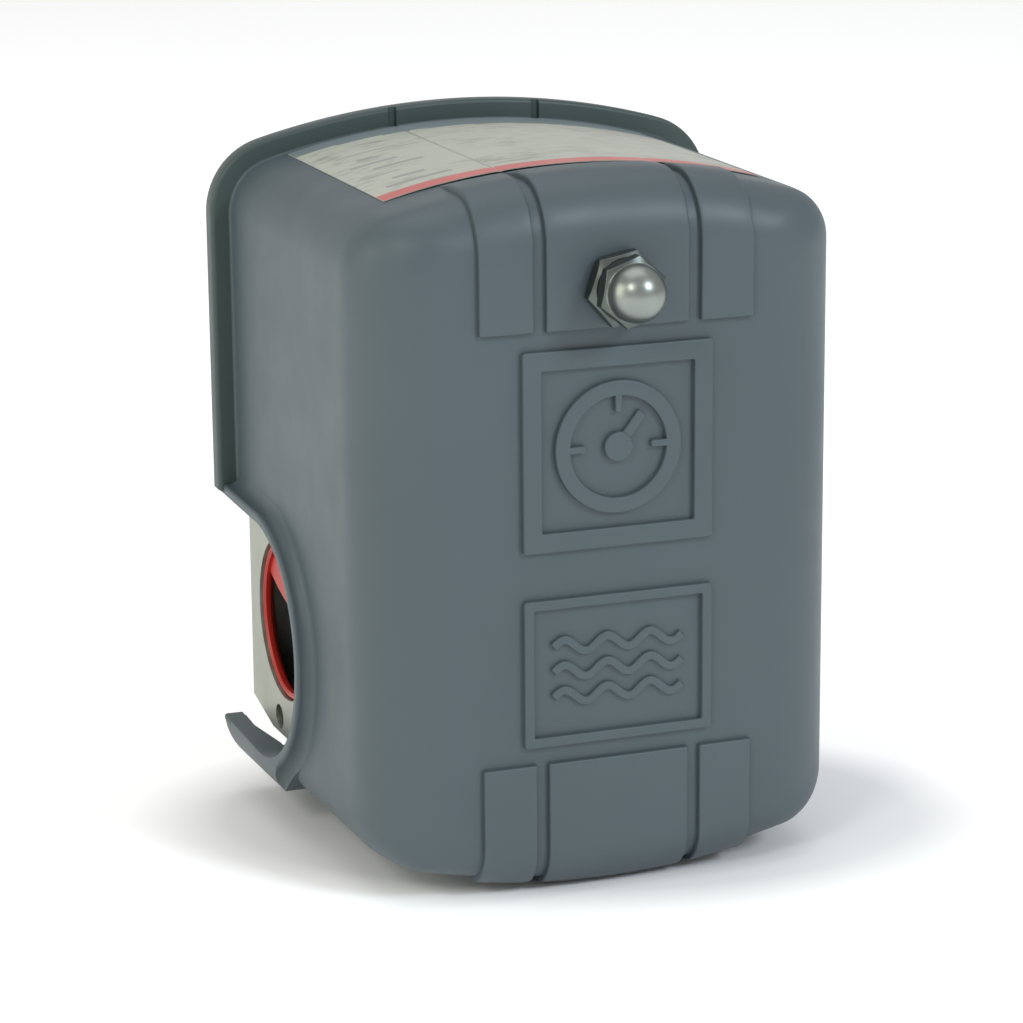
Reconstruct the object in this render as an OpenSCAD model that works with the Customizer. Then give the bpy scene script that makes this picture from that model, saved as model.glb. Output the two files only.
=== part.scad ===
// Well-pump pressure switch, standing on one end as it is shelved.
// +Z is up. -Y is the front, where the moulded cover and its acorn nut are.
// +Y is the back, where the steel base plate and the pressure port are.
// The origin is the middle of the whole switch's footprint, on the surface it stands on.

/* [Cover] */
// Width of the cover across its front
cover_w = 65; // [60:1:72]
// Height of the cover from the crown of its lower arch to the crown of its upper arch
cover_h = 90.8; // [86:0.2:96]
// Depth of the cover from its front face to its open rear edge
cover_d = 57; // [56:0.5:58]
// Wall thickness of the moulding
wall = 1.6; // [1.5:0.1:1.8]
// How much wider each side is at the rear than at the front
draft = 1; // [0.5:0.1:1.2]
// Radius of the upper and lower arches
arch_r = 104; // [95:1:120]
// Corner radius of the front outline
corner_r = 7.2; // [6.5:0.1:8]
// Rounding between the front face and the sides
side_round = 10.5; // [8:0.5:11]
// Rounding between the front face and the top
top_round = 7; // [6:0.5:8]
// Rounding between the front face and the bottom
bottom_round = 5; // [4:0.5:6]
// Height that the moulded pads and frames stand proud
pad_h = 0.8; // [0.5:0.1:1]
// How far the rear lip stands out at the sides and the top
lip_out = 2.8; // [2.4:0.1:3.2]
// How far the rear lip stands out at the bottom
lip_low = 0.8; // [0.8:0.1:1.2]
// Thickness of the rear lip
lip_t = 2.8; // [2.4:0.1:3]

/* [Base] */
// Thickness of the steel base plate
plate_t = 1.8; // [1.6:0.1:2]
// Radius of the conduit knock-out in each ear of the base
conduit_r = 11.1; // [11:0.05:11.2]
// Height of the pressure port's axis
port_z = 58; // [57:0.5:59]
// Radius of the threaded bore of the pressure port
port_r = 5.6; // [5.5:0.05:5.7]
// Length of the threaded bore of the pressure port
port_len = 10; // [9:0.5:11]

/* [Springs and nuts] */
// Height of the range stud, which also holds the cover
stud_z = 78.6; // [78.5:0.1:79.5]
// Radius of the range stud
stud_r = 2.08; // [2:0.02:2.1]
// Size across the flats of the acorn nut
nut_af = 7.94; // [7.8:0.02:8]
// Size across the flats of the jam nut behind it
jam_af = 8.73; // [8.6:0.01:8.8]
// Radius of the acorn nut's dome
dome_r = 3.65; // [3.5:0.05:3.7]
// Mean radius of the range spring
range_coil_r = 6; // [5.6:0.1:6.2]
// Mean radius of the differential spring
diff_coil_r = 3.5; // [3.2:0.1:3.6]

/* [Hidden] */

$fn = 48;
eps = 0.01;            // overlap that fuses two shapes of one piece
snug = 0.05;           // running clearance on a radius
gap = 0.3;             // air between neighbours on different bodies

// cover, from the front face back
face_y = -31.5;
rear_y = face_y + cover_d;
lip_y = rear_y - lip_t;
rabbet_d = lip_t - wall + 0.2;          // depth of the widening inside the lip
low_z = lip_low;                        // crown of the lower arch
high_z = low_z + cover_h;               // crown of the upper arch, at the front
slope = draft / (cover_d - lip_t);      // growth of each side per millimetre of depth
pad_x = [[-18.35, -11.2], [-9.55, 9.55], [11.2, 18.35]];
top_pad_z = 73.5;                       // lower edge of the upper pads
low_pad_z = 17.9;                       // upper edge of the lower pads
frame_w = 25.6;                         // both raised frames
upper_frame_z = 58.3;                   // middle of the square frame
lower_frame_z = [20.15, 39.4];           // edges of the low frame
cutout_y = 10;                          // middle of the round front of each side cut-out
cutout_z = 26.2;
cutout_r = 16.2;
cutout_rear = [11.4, 43.5];             // lower and upper edges of a cut-out behind the cover
rim_w = 1.5;                            // raised border round each cut-out
rim_out = 2.2;
label_front = -18;                      // front edge of the label, where the upper pads end

// base
ear_out = 31.2;                         // outer faces of the ears
base_y = rear_y + 0.5;                  // rear face of the base plate
base_front = base_y - plate_t;
conduit_y = 10.8;
conduit_z = 28;
bush_r = 10.2;                           // free bore of each cable clamp
flange_side = 40;                       // pressure flange, square
flange_bolt = 15.4;                     // half the spacing of its four screws
diaphragm_t = 1.2;
flange_y = base_y + diaphragm_t;        // front face of the pressure flange
flange_t = 5;
port_y = 41.6;                          // mouth of the pressure port

// lever and contacts
arm_y = -4.3;                           // front ends of the lever's arms
pivot_y = 20;
pivot_z = 85.5;
pivot_r = 1.5;
lever_y = 16;                           // front face of the lever plate
lever_t = 1.6;
bar_z = 40;                             // middle of the moving contact bar
contact_y = -2;                         // faces of the fixed contacts
terminal_x = [-15, -5, 5, 15];
terminal_z = 21;
block_front = 1;                        // front face of the terminal block
diff_x = 19;
diff_z = 66;
diff_r = 1.6;
guide_x = 10;                           // guide posts of the contact bar
guide_r = 1.5;
hold_x = 19;                            // screws that hold the terminal block
hold_z = 32;

// nuts, along the stud
nut_face = face_y - pad_h - 0.1;        // rear face of the jam nut
jam_t = 2.5;
acorn_y = nut_face - jam_t - 0.1;       // rear face of the acorn nut
acorn_hex_t = 2.4;
tip_y = -41.6;                          // tip of the acorn nut

// ---- helpers ----

// Circle radius of a hexagon with flats of this size across
function hex_r(af) = af / sqrt(3);

// Upper half of the outline, from the right side over the arch to the left side:
// half width w, crown height zt, corner radius rc, arch radius ra
function arch_half(w, zt, rc, ra) =
    let (az = zt - ra, cx = w - rc,
         cz = az + sqrt(pow(ra - rc, 2) - cx * cx),
         a = atan2(cz - az, cx), n = 6, m = 17)
    concat([for (i = [0:n]) [cx + rc * cos(a * i / n), cz + rc * sin(a * i / n)]],
           [for (i = [1:m - 1]) let (b = a + (180 - 2 * a) * i / m) [ra * cos(b), az + ra * sin(b)]],
           [for (i = [n:-1:0]) [-cx - rc * cos(a * i / n), cz + rc * sin(a * i / n)]]);

// Whole outline, arched above and below
function outline(w, zt, zb, rc, ra) =
    concat(arch_half(w, zt, rc, ra),
           [for (p = arch_half(w, -zb, rc, ra)) [-p[0], -p[1]]]);

// Inset of a rounded edge of radius r at depth d behind the front face
function inset(r, d) = d >= r ? 0 : r - sqrt(r * r - pow(r - d, 2));

// One thin slice of the cover at depth d, grown by g all round
module cover_slice(d, g) {
    grow = g + slope * d;
    side = inset(side_round + g, d + g);
    pts = outline(cover_w / 2 + grow - side,
                  high_z + grow - inset(top_round + g, d + g),
                  low_z - g + inset(bottom_round + g, d + g),
                  max(corner_r + g - 0.4 * side, 2), arch_r);
    translate([0, face_y + d, 0]) along_y(eps) polygon(pts);
}

// Solid outer form of the cover grown by g, back to depth d_end
module cover_form(g, d_end, levels) {
    hull() for (d = concat([for (v = levels) v - g], [d_end])) cover_slice(d, g);
}

// The points for the right side, or the same mirrored to the left in reverse order
function mirror_order(s, pts) =
    s > 0 ? pts : [for (i = [len(pts) - 1:-1:0]) [-pts[i][0], pts[i][1]]];

// Extrude a drawing in X and Z towards +Y
module along_y(t) {
    rotate([90, 0, 0]) translate([0, 0, -t]) linear_extrude(t) children();
}

// Extrude a drawing in Y and Z towards +X
module along_x(t) {
    rotate([90, 0, 90]) linear_extrude(t) children();
}

// Cylinder from y0 to y1 at x, z
module rod_y(x, z, y0, y1, r) {
    translate([x, y0, z]) rotate([-90, 0, 0]) cylinder(h = y1 - y0, r = r);
}

// Hexagonal prism from y0 to y1 at x, z, flats across af
module hex_y(x, z, y0, y1, af) {
    translate([x, y0, z]) rotate([-90, 0, 0]) cylinder(h = y1 - y0, r = hex_r(af), $fn = 6);
}

// Coil spring along Y, from y0 to y1, mean radius r, wire radius wr
module coil_y(x, z, y0, y1, r, wr, turns) {
    steps = 16;
    sides = 8;
    n = turns * steps;
    run = y1 - y0 - 2 * wr;
    ring = function (i) let (a = 360 * i / steps)
        [for (k = [0:sides - 1]) let (b = 360 * k / sides, q = r + wr * cos(b))
            [x + q * cos(a), y0 + wr + run * i / n + wr * sin(b), z + q * sin(a)]];
    pts = [for (i = [0:n]) each ring(i)];
    walls = [for (i = [0:n - 1], k = [0:sides - 1])
        let (k2 = (k + 1) % sides, p = i * sides, q = p + sides)
        each [[p + k, q + k, q + k2], [p + k, q + k2, p + k2]]];
    ends = [[for (k = [0:sides - 1]) k], [for (k = [sides - 1:-1:0]) n * sides + k]];
    polyhedron(pts, concat(walls, ends), convexity = 10);
}

// Pan-head screw pointing along +Y, its head's underside at y
module pan_screw(x, z, y, head_r, head_h, shank_r, length) {
    difference() {
        union() {
            rod_y(x, z, y - head_h, y, head_r);
            rod_y(x, z, y - eps, y + length, shank_r);
        }
        translate([x - head_r, y - head_h - 1, z - 0.5]) cube([2 * head_r, 1.8, 1]);
    }
}

// ---- cover ----

front_levels = [0, 0.4, 1.4, 3, 5, 7.5, 10.5];

module pads_zone() {
    for (p = pad_x) {
        translate([p[0], face_y - 5, top_pad_z])
            cube([p[1] - p[0], label_front - 0.4 - face_y + 5, 40]);
        translate([p[0], face_y - 5, low_pad_z - 40]) cube([p[1] - p[0], cover_d, 40]);
    }
}

module lip() {
    w = cover_w / 2 + draft;
    translate([0, lip_y, 0]) along_y(lip_t)
        polygon(outline(w + lip_out, high_z + draft + lip_out, low_z - lip_low,
                        corner_r + lip_out, arch_r + lip_out));
}

// Widening of the cavity inside the lip, one wall thick behind the lip's front
module rabbet() {
    w = cover_w / 2 + draft + lip_out - wall;
    translate([0, rear_y - rabbet_d, 0]) along_y(rabbet_d + 5)
        polygon(outline(w, high_z + draft + lip_out - wall, low_z + wall,
                        corner_r + lip_out - wall, arch_r + lip_out - wall));
}

// Side cut-out in Y and Z, round in front and open to the rear, grown by g
module cutout_shape(g) {
    translate([cutout_y, cutout_z]) circle(cutout_r + g, $fn = 72);
    polygon([[cutout_y, cutout_z - cutout_r - g], [rear_y + 5, cutout_rear[0] - g],
             [rear_y + 5, cutout_rear[1] + g], [cutout_y, cutout_z + cutout_r + g]]);
}

module side_cutouts() {
    translate([-50, 0, 0]) along_x(100) cutout_shape(0);
    // the border is hollowed from inside to the thickness of the lip
    half = cover_w / 2 + 0.5;
    translate([-half, 0, 0]) along_x(2 * half) cutout_shape(rim_w - 0.9);
}

// Where the border round the cut-outs stands; below them it runs on round the corners
module rim_zone() {
    for (s = [0, 1]) mirror([s, 0, 0]) translate([26, 0, 0]) along_x(20) {
        cutout_shape(rim_w);
        polygon([[1, -5], [rear_y, -5], [rear_y, 20], [-6, 20], [-5, 12], [-2.5, 5]]);
    }
}

// Raised rectangular frame on the front face
module face_frame(z0, z1, bar) {
    translate([0, face_y - pad_h, 0]) along_y(pad_h + 0.4) difference() {
        translate([-frame_w / 2, z0]) square([frame_w, z1 - z0]);
        translate([-frame_w / 2 + bar, z0 + bar]) square([frame_w - 2 * bar, z1 - z0 - 2 * bar]);
    }
}

// Dial pictogram: a ring, three marks and a needle
module gauge_emblem() {
    translate([0, face_y - pad_h, 0]) along_y(pad_h + 0.4) translate([0, upper_frame_z]) {
        difference() {
            circle(8.4);
            circle(6.4);
        }
        for (a = [0, 90, 180]) rotate(a) translate([4.4, -0.5]) square([2.2, 1]);
        rotate(52) translate([-2.4, -0.7]) square([7, 1.4]);
        circle(1.9);
    }
}

// Water pictogram: three rows of waves
module wave_emblem() {
    mid = (lower_frame_z[0] + lower_frame_z[1]) / 2;
    wave = function (s) [for (i = [0:24]) let (u = i / 24) [-9 + 18 * u, 0.9 * sin(1080 * u) + s]];
    translate([0, face_y - pad_h, 0]) along_y(pad_h + 0.4)
        for (z = [mid - 3.4, mid, mid + 3.4])
            translate([0, z]) polygon(concat(wave(-0.6), [for (i = [24:-1:0]) wave(0.6)[i]]));
}

module cover() color([0.37, 0.43, 0.46]) {
    difference() {
        union() {
            cover_form(0, cover_d - eps, front_levels);
            intersection() {
                cover_form(pad_h, cover_d - lip_t, front_levels);
                pads_zone();
            }
            intersection() {
                cover_form(rim_out, cover_d - lip_t, front_levels);
                rim_zone();
            }
            lip();
        }
        cover_form(-wall, cover_d + 6, [0, 1, 4, 8.5]);
        rabbet();
        side_cutouts();
        rod_y(0, stud_z, face_y - 5, face_y + 5, stud_r + 0.35);
    }
    face_frame(upper_frame_z - frame_w / 2, upper_frame_z + frame_w / 2, 2.6);
    face_frame(lower_frame_z[0], lower_frame_z[1], 1.5);
    gauge_emblem();
    wave_emblem();
}

module rating_label() color([0.76, 0.76, 0.73]) intersection() {
    difference() {
        cover_form(0.25, cover_d - lip_t - 0.5, front_levels);
        cover_form(0.05, cover_d, front_levels);
    }
    translate([-25.6, label_front, 80]) cube([51.2, 39.5, 40]);
}

module jam_nut() color([0.72, 0.74, 0.72]) difference() {
    hex_y(0, stud_z, nut_face - jam_t, nut_face, jam_af);
    rod_y(0, stud_z, nut_face - jam_t - 1, nut_face + 1, stud_r + snug);
}

module acorn_nut() color([0.72, 0.74, 0.72]) difference() {
    union() {
        hex_y(0, stud_z, acorn_y - acorn_hex_t, acorn_y, nut_af);
        rod_y(0, stud_z, tip_y + dome_r, acorn_y - acorn_hex_t + eps, dome_r);
        translate([0, tip_y + dome_r, stud_z]) sphere(dome_r);
    }
    rod_y(0, stud_z, tip_y + 2.5, acorn_y + 1, stud_r + snug);
}

// ---- base ----

// Outline of one ear in Y and Z
module ear_shape() {
    ear_low = 11.2;
    difference() {
        polygon([[-1, ear_low], [17, ear_low], [base_y, ear_low + 2.2], [base_y, 43.6],
                 [1, 43.6], [-4.5, 38], [-4.5, 15]]);
        translate([conduit_y, conduit_z]) circle(conduit_r);
        translate([13.8, 13.5]) circle(1.7);
    }
}

module base_bracket() color([0.7, 0.71, 0.66]) {
    difference() {
        union() {
            translate([0, base_front, 0]) along_y(plate_t) difference() {
                polygon([for (s = [1, -1]) each mirror_order(s,
                    [[20, 5.4], [26, 9.5], [26, 13.4], [ear_out, 13.4], [ear_out, 79], [23, 87]])]);
                translate([0, port_z]) circle(9);
                for (x = [-1, 1], z = [-1, 1])
                    translate([x * flange_bolt, port_z + z * flange_bolt]) circle(2.1);
            }
            for (s = [-1, 1]) {
                translate([s > 0 ? ear_out - plate_t : -ear_out, 0, 0]) along_x(plate_t) ear_shape();
                translate([s > 0 ? 15 : -17, pivot_y - 3, pivot_z - 3])
                    cube([2, base_front - pivot_y + 3 + eps, 5.5]);
            }
        }
        translate([-20, pivot_y, pivot_z]) rotate([0, 90, 0]) cylinder(h = 40, r = pivot_r);
        rod_y(0, stud_z, base_front - 1, base_y + 1, stud_r);
        rod_y(diff_x, diff_z, base_front - 1, base_y + 1, diff_r);
        for (x = [-25, 25]) rod_y(x, 50, base_front - 1, base_y + 1, 1.8);
        for (x = [-hold_x, hold_x]) rod_y(x, hold_z, base_front - 1, base_y + 1, 1.6);
    }
}

// Moulded clamp: a sleeve in the knock-out, a flange inside the ear, and a tongue
module cable_clamp() {
    inner = ear_out - plate_t;
    difference() {
        union() {
            rotate([0, 90, 0]) cylinder(h = ear_out - 0.4, r = conduit_r - 0.15);
            rotate([0, 90, 0]) cylinder(h = inner - 0.1, r = 13);
        }
        rotate([0, 90, 0]) translate([0, 0, -1]) cylinder(h = inner - 2.6 + 1, r = 20);
        rotate([0, 90, 0]) cylinder(h = 60, r = bush_r);
    }
    // tongue, hinged on the flange and slanting across the upper part of the bore
    translate([inner - 4.6, 0, 0]) intersection() {
        rotate([0, 90, 0]) cylinder(h = 2.2, r = 13);
        rotate([-35, 0, 0]) translate([0, -14, bush_r + 0.2]) cube([2.2, 28, 3]);
    }
}

module cable_clamp_left() color([0.74, 0.2, 0.17])
    mirror([1, 0, 0]) translate([0, conduit_y, conduit_z]) cable_clamp();

module cable_clamp_right() color([0.74, 0.2, 0.17])
    translate([0, conduit_y, conduit_z]) cable_clamp();

module pressure_flange() color([0.62, 0.63, 0.6]) {
    half = flange_side / 2;
    difference() {
        union() {
            translate([0, flange_y, 0]) along_y(flange_t) translate([0, port_z])
                polygon([for (s = [[1, 1], [-1, 1], [-1, -1], [1, -1]])
                    each (s[0] * s[1] > 0
                        ? [[s[0] * half, s[1] * (half - 5)], [s[0] * (half - 5), s[1] * half]]
                        : [[s[0] * (half - 5), s[1] * half], [s[0] * half, s[1] * (half - 5)]])]);
            rod_y(0, port_z, flange_y + flange_t - eps, flange_y + flange_t + 1.5, 11);
            hex_y(0, port_z, flange_y + flange_t, port_y, 17.5);
        }
        rod_y(0, port_z, flange_y - 1, flange_y + 2.2, 13.5);
        rod_y(0, port_z, flange_y, port_y, 2.4);
        rod_y(0, port_z, port_y - port_len, port_y + 1, port_r);
        for (x = [-1, 1], z = [-1, 1])
            rod_y(x * flange_bolt, port_z + z * flange_bolt, flange_y - 1, flange_y + flange_t + 1, 2.1);
    }
}

module diaphragm() color([0.12, 0.12, 0.12])
    rod_y(0, port_z, base_y + 0.05, flange_y - 0.05, 17);

module flange_screws() color([0.66, 0.67, 0.64])
    for (x = [-1, 1], z = [-1, 1])
        translate([x * flange_bolt, flange_y + flange_t + 0.05, port_z + z * flange_bolt])
            rotate([0, 0, 180]) pan_screw(0, 0, 0, 3.6, 2.4, 1.95, flange_t + diaphragm_t + 3);

module piston() color([0.85, 0.83, 0.76]) {
    rod_y(0, port_z, base_y - 3.2, base_y - 0.05, 8.6);
    rod_y(0, port_z, lever_y + lever_t + 1.4, base_y - 3, 4);
    translate([0, lever_y + lever_t + 1.5, port_z]) sphere(1.4);
}

// ---- lever, springs and studs ----

module operating_lever() color([0.68, 0.69, 0.64]) difference() {
    union() {
        translate([0, lever_y, 0]) along_y(lever_t)
            polygon([[-14, 87], [14, 87], [14, 71.5], [24.5, 71.5], [24.5, 47], [-24.5, 47],
                     [-24.5, 56], [-14, 62]]);
        for (s = [-1, 1]) {
            // cheeks that carry the pin
            translate([s > 0 ? 12.4 : -14, 0, 0]) along_x(1.6)
                polygon([[lever_y, 76], [lever_y + 3, 76], [pivot_y + 2.5, pivot_z - 2],
                         [pivot_y + 2.5, 87], [lever_y, 87]]);
            // arms that reach forward to the contact bar
            translate([s > 0 ? 22.9 : -24.5, arm_y, 47]) cube([1.6, lever_y - arm_y + eps, 4]);
        }
    }
    translate([-20, pivot_y, pivot_z]) rotate([0, 90, 0]) cylinder(h = 40, r = pivot_r + snug);
    rod_y(0, stud_z, lever_y - 1, lever_y + lever_t + 1, 3.2);
    rod_y(diff_x, diff_z, lever_y - 1, lever_y + lever_t + 1, diff_r + 0.9);
}

module pivot_pin() color([0.6, 0.61, 0.6])
    translate([-18, pivot_y, pivot_z]) rotate([0, 90, 0]) cylinder(h = 36, r = pivot_r);

module range_stud() color([0.7, 0.71, 0.68]) rod_y(0, stud_z, tip_y + 3, base_y + 0.6, stud_r);

range_nut_y = -6;

module range_nut() color([0.7, 0.71, 0.68]) difference() {
    hex_y(0, stud_z, range_nut_y - 4, range_nut_y, 9.5);
    rod_y(0, stud_z, range_nut_y - 5, range_nut_y + 1, stud_r + snug);
}

module range_spring_seat() color([0.7, 0.71, 0.68]) difference() {
    union() {
        rod_y(0, stud_z, range_nut_y + 0.1, range_nut_y + 1.3, range_coil_r + 1.6);
        rod_y(0, stud_z, range_nut_y + 1.2, range_nut_y + 3, range_coil_r - 1.3);
    }
    rod_y(0, stud_z, range_nut_y - 1, range_nut_y + 4, stud_r + 0.2);
}

module range_spring() color([0.45, 0.46, 0.47])
    coil_y(0, stud_z, range_nut_y + 1.35, lever_y - 0.5, range_coil_r, 0.9, 6);

module differential_stud() color([0.7, 0.71, 0.68])
    rod_y(diff_x, diff_z, -1, base_y + 0.6, diff_r);

diff_nut_y = 2;

module differential_nut() color([0.7, 0.71, 0.68]) difference() {
    hex_y(diff_x, diff_z, diff_nut_y - 3, diff_nut_y, 7.9);
    rod_y(diff_x, diff_z, diff_nut_y - 4, diff_nut_y + 1, diff_r + snug);
}

module differential_washer() color([0.7, 0.71, 0.68]) difference() {
    rod_y(diff_x, diff_z, diff_nut_y + 0.1, diff_nut_y + 1.1, 4.6);
    rod_y(diff_x, diff_z, diff_nut_y - 1, diff_nut_y + 2, diff_r + 0.2);
}

module differential_spring() color([0.45, 0.46, 0.47])
    coil_y(diff_x, diff_z, diff_nut_y + 1.15, lever_y - 1.5, diff_coil_r, 0.55, 6);

// ---- terminal block and contacts ----

block_w = 42;
block_z = [15, 37];

module terminal_block() color([0.1, 0.1, 0.11]) difference() {
    union() {
        translate([-block_w / 2, block_front, block_z[0]])
            cube([block_w, base_front - block_front - 0.05, block_z[1] - block_z[0]]);
        // barriers between the terminals
        for (x = [-20.2, -10, 0, 10, 20.2])
            translate([x - 0.8, block_front - 5, block_z[0]]) cube([1.6, 5 + eps, 14]);
        // step that backs the fixed contacts
        translate([-block_w / 2, block_front, block_z[1] - eps]) cube([block_w, 9, 6.5]);
    }
    for (x = terminal_x) rod_y(x, terminal_z, block_front - 1, block_front + 9, 1.75);
    for (x = [-hold_x, hold_x]) rod_y(x, hold_z, block_front - 1, base_front + 1, 1.9);
    for (x = [-guide_x, guide_x]) rod_y(x, bar_z, block_front - 1, block_front + 7, guide_r);
}

module block_screws() color([0.66, 0.67, 0.64])
    for (x = [-hold_x, hold_x])
        pan_screw(x, hold_z, block_front - 0.05, 2.2, 1.6, 1.55, base_y - block_front);

module terminal_plates() color([0.78, 0.66, 0.38])
    for (x = terminal_x) translate([x, 0, terminal_z]) difference() {
        translate([-3.6, block_front - 1.95, -3.6]) cube([7.2, 1.1, 7.2]);
        rod_y(0, 0, block_front - 3, block_front, 2);
    }

module terminal_screws() color([0.74, 0.75, 0.72])
    for (x = terminal_x) pan_screw(x, terminal_z, block_front - 2, 3.1, 2, 1.7, 9);

// Brass strips from under each terminal screw up to a contact button
module fixed_contacts() color([0.78, 0.66, 0.38])
    for (x = terminal_x) {
        difference() {
            union() {
                translate([x - 3, block_front - 0.8, terminal_z - 3.5]) cube([6, 0.75, 7.5]);
                translate([x - 1.7, block_front - 0.8, terminal_z - 3.5]) cube([3.4, 0.75, 23]);
            }
            rod_y(x, terminal_z, block_front - 2, block_front + 1, 2);
        }
        rod_y(x, bar_z, contact_y, block_front - 0.7, 2);
    }

bar_y = contact_y - 2.4;                // rear face of the contact bar
guide_head_y = bar_y - 11.5;            // underside of the guide screws' heads

module contact_bar() color([0.14, 0.13, 0.12]) difference() {
    union() {
        translate([-25, bar_y - 4, bar_z - 3.5]) cube([50, 4, 7]);
        // horns that the arms of the lever push
        for (s = [-1, 1]) translate([s > 0 ? 22 : -25, bar_y - 4, bar_z + 3.5 - eps])
            cube([3, 4, 8]);
    }
    for (x = [-guide_x, guide_x]) rod_y(x, bar_z, bar_y - 5, bar_y + 1, guide_r + snug);
}

// Shouldered screws that guide the bar and hold its springs
module contact_guides() color([0.66, 0.67, 0.64])
    for (x = [-guide_x, guide_x])
        pan_screw(x, bar_z, guide_head_y, 3, 1.6, guide_r, block_front + 6 - guide_head_y);

// Two bridges, each with a button for two of the fixed contacts
module moving_contacts() color([0.8, 0.78, 0.72])
    for (s = [-1, 1]) difference() {
        union() {
            translate([s * 10 - 7.5, bar_y + 0.05, bar_z - 2.2]) cube([15, 0.9, 4.4]);
            for (x = [5, 15]) rod_y(s * x, bar_z, bar_y + 0.9, contact_y - 0.1, 1.9);
        }
        rod_y(s * guide_x, bar_z, bar_y - 1, bar_y + 3, guide_r + 0.2);
    }

module contact_springs() color([0.45, 0.46, 0.47])
    for (x = [-guide_x, guide_x])
        coil_y(x, bar_z, guide_head_y + 0.05, bar_y - 5.5, 2.2, 0.35, 5);

module ground_screws() color([0.16, 0.5, 0.26])
    for (x = [-25, 25]) pan_screw(x, 50, base_front - 0.05, 3.4, 2.2, 1.75, 4);

cover();
rating_label();
acorn_nut();
jam_nut();
base_bracket();
cable_clamp_left();
cable_clamp_right();
pressure_flange();
diaphragm();
flange_screws();
piston();
operating_lever();
pivot_pin();
range_stud();
range_spring();
range_spring_seat();
range_nut();
differential_stud();
differential_spring();
differential_washer();
differential_nut();
terminal_block();
block_screws();
terminal_plates();
terminal_screws();
fixed_contacts();
contact_guides();
contact_bar();
moving_contacts();
contact_springs();
ground_screws();
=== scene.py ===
"""Looks of the pressure switch: smooth moulded cover, label, nuts, hardware, floor, lights and camera."""

import math
import random

import bmesh
import bpy
from mathutils import Matrix, Vector


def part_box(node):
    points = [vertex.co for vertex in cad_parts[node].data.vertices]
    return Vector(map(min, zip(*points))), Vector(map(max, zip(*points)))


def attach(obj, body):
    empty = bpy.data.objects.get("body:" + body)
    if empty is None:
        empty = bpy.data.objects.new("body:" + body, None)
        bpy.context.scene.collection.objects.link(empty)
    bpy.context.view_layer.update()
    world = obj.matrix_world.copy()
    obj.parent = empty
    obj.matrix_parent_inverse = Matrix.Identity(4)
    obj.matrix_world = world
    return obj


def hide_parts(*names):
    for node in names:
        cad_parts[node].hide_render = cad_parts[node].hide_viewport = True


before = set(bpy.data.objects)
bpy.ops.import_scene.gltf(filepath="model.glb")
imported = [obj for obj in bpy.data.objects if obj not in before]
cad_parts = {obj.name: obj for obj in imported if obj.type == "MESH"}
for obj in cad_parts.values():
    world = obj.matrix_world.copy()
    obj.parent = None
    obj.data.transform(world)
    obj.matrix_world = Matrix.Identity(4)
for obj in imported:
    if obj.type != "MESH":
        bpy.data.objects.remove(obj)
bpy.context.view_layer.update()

# ---------------------------------------------------------------- sizes, in millimetres


def mm_box(node):
    """Low and high corner of a node's box, in millimetres."""
    low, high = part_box(node)
    return [1000 * c for c in low], [1000 * c for c in high]


COVER_LO, COVER_HI = mm_box("cover")
PAD_H = 0.8                     # how far pads and frames stand out
LIP = 2.8                       # lip, out from the wall
LIP_T = 2.8                     # lip, along y
DRAFT = 1.0                     # how much the wall spreads from face to lip
WALL = 1.6
FACE_Y = COVER_LO[1] + PAD_H
REAR_Y = COVER_HI[1]
LIP_Y = REAR_Y - LIP_T
HALF_W = COVER_HI[0] - LIP - DRAFT
TOP_Z = COVER_HI[2] - LIP - DRAFT
LOW_Z = COVER_LO[2] + PAD_H
SLOPE = DRAFT / (LIP_Y - FACE_Y)
ARCH_R = 104.0
CORNER_R = 7.2
ROLL_SIDE, ROLL_TOP, ROLL_LOW = 10.5, 7.0, 5.0

STUD_X = 0.0
STUD_LO, STUD_HI = mm_box("range_stud")
STUD_Z = (STUD_LO[2] + STUD_HI[2]) / 2
STUD_R = (STUD_HI[2] - STUD_LO[2]) / 2
THREAD_GAP = 0.06               # between a stud and the bore of its nut
CONDUIT_LO, CONDUIT_HI = mm_box("cable_clamp_left")
CONDUIT_Y = (CONDUIT_LO[1] + CONDUIT_HI[1]) / 2
CONDUIT_Z = (CONDUIT_LO[2] + CONDUIT_HI[2]) / 2
CUT_Y, CUT_Z, CUT_R = CONDUIT_Y - 0.8, CONDUIT_Z - 1.8, 16.2        # round front of the side opening
CUT_REAR = (CONDUIT_Z - 16.6, CONDUIT_Z + 15.5)                     # its lower and upper edge at the rear
RIM_W, RIM_OUT, RIM_FILLET = 1.5, 2.2, 1.5                          # raised border round the opening
EDGE = 0.45                     # rounding of the border's edge and of the lip's rear edge
LIP_EDGE = 0.6                  # rounding of the lip's front edge
RABBET = LIP_T - WALL + 0.2     # depth of the step inside the lip
LABEL_FRONT = mm_box("rating_label")[0][1]


# ---------------------------------------------------------------- materials


def srgb(r, g, b):
    """Linear colour of an sRGB value given from 0 to 255."""
    def lin(c):
        c /= 255
        return c / 12.92 if c <= 0.04045 else ((c + 0.055) / 1.055) ** 2.4
    return (lin(r), lin(g), lin(b), 1.0)


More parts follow.
